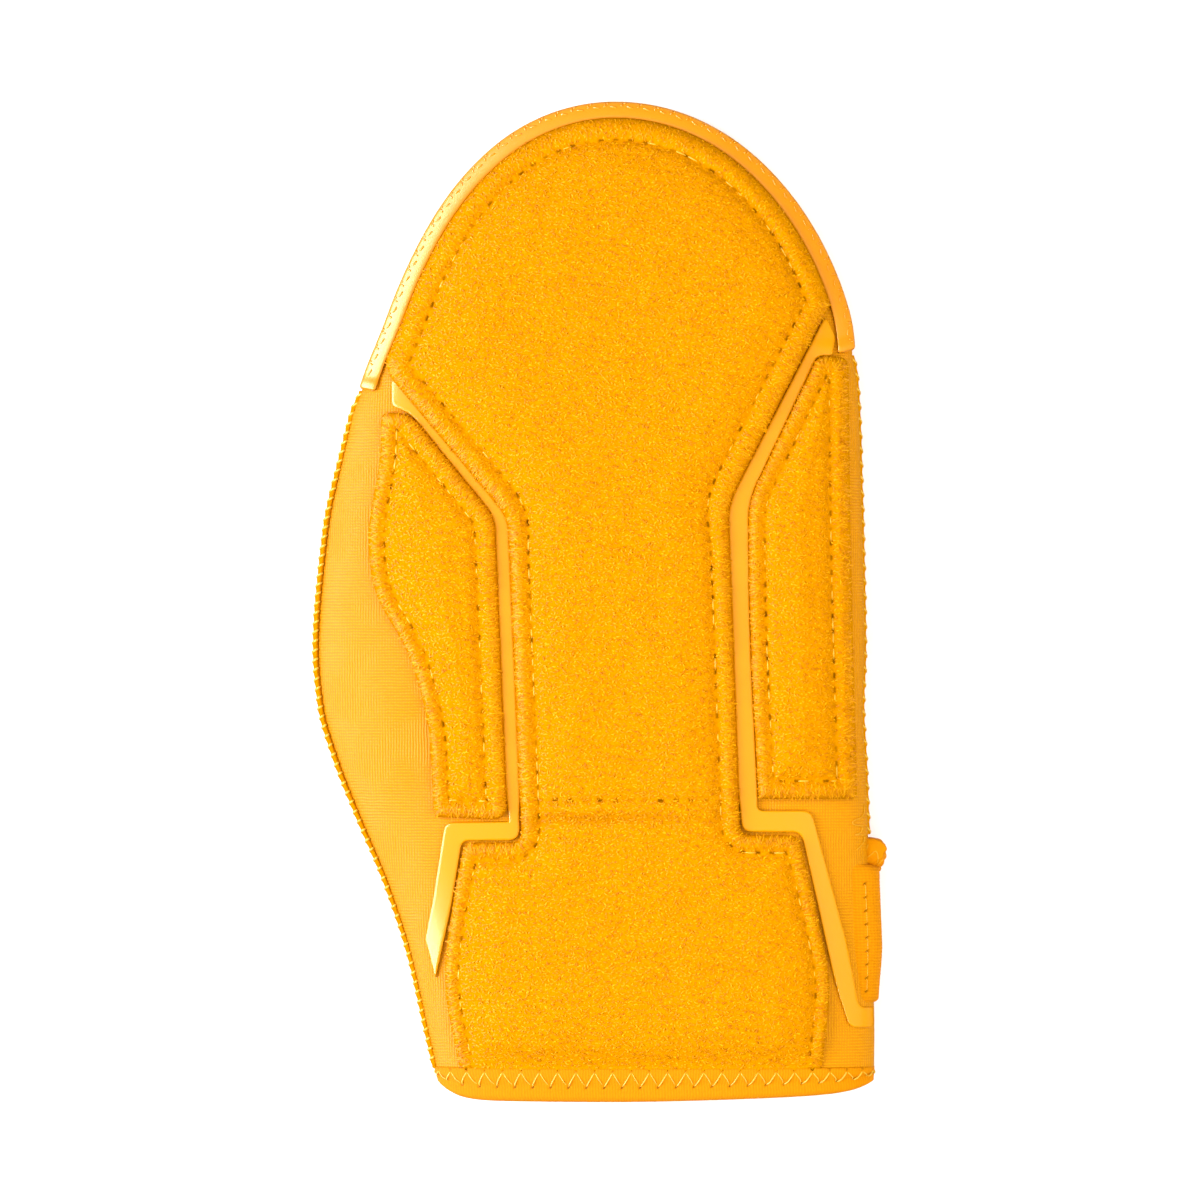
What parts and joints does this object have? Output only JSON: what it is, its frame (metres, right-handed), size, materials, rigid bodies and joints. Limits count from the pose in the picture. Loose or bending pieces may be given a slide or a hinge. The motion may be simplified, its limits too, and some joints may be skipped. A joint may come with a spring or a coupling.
{
  "type": "sliding mitt",
  "caption": "Padded hand sleeve for base running: hollow knit body, moulded finger bumper, terry pads with sewn edges, film trims, bound wrist mouth and a wrist strap.",
  "frame": {"origin": "middle of the footprint, on the surface that the mitt lies on", "axes": "+Y towards the fingertips, +Z out of the padded front, thumb side at -X"},
  "size_m": [0.1599, 0.2799, 0.0406],
  "materials": {
    "knit": "fine knit jersey, matt",
    "terry": "short looped pile, matt",
    "film": "smooth bonded film, satin",
    "rubber": "moulded with small raised dashes, satin",
    "binding": "folded knit binding, matt",
    "elastic": "ribbed elastic, matt"
  },
  "bodies": {
    "root": {"front_shell": "knit", "back_shell": "knit", "finger_bumper": "rubber", "center_pad": "terry", "thumb_side_pad": "terry", "outer_side_pad": "terry", "thumb_side_film": "film", "outer_side_film": "film", "wrist_hem": "binding", "wrist_strap": "elastic", "strap_tab": "binding"}
  },
  "joints": []
}
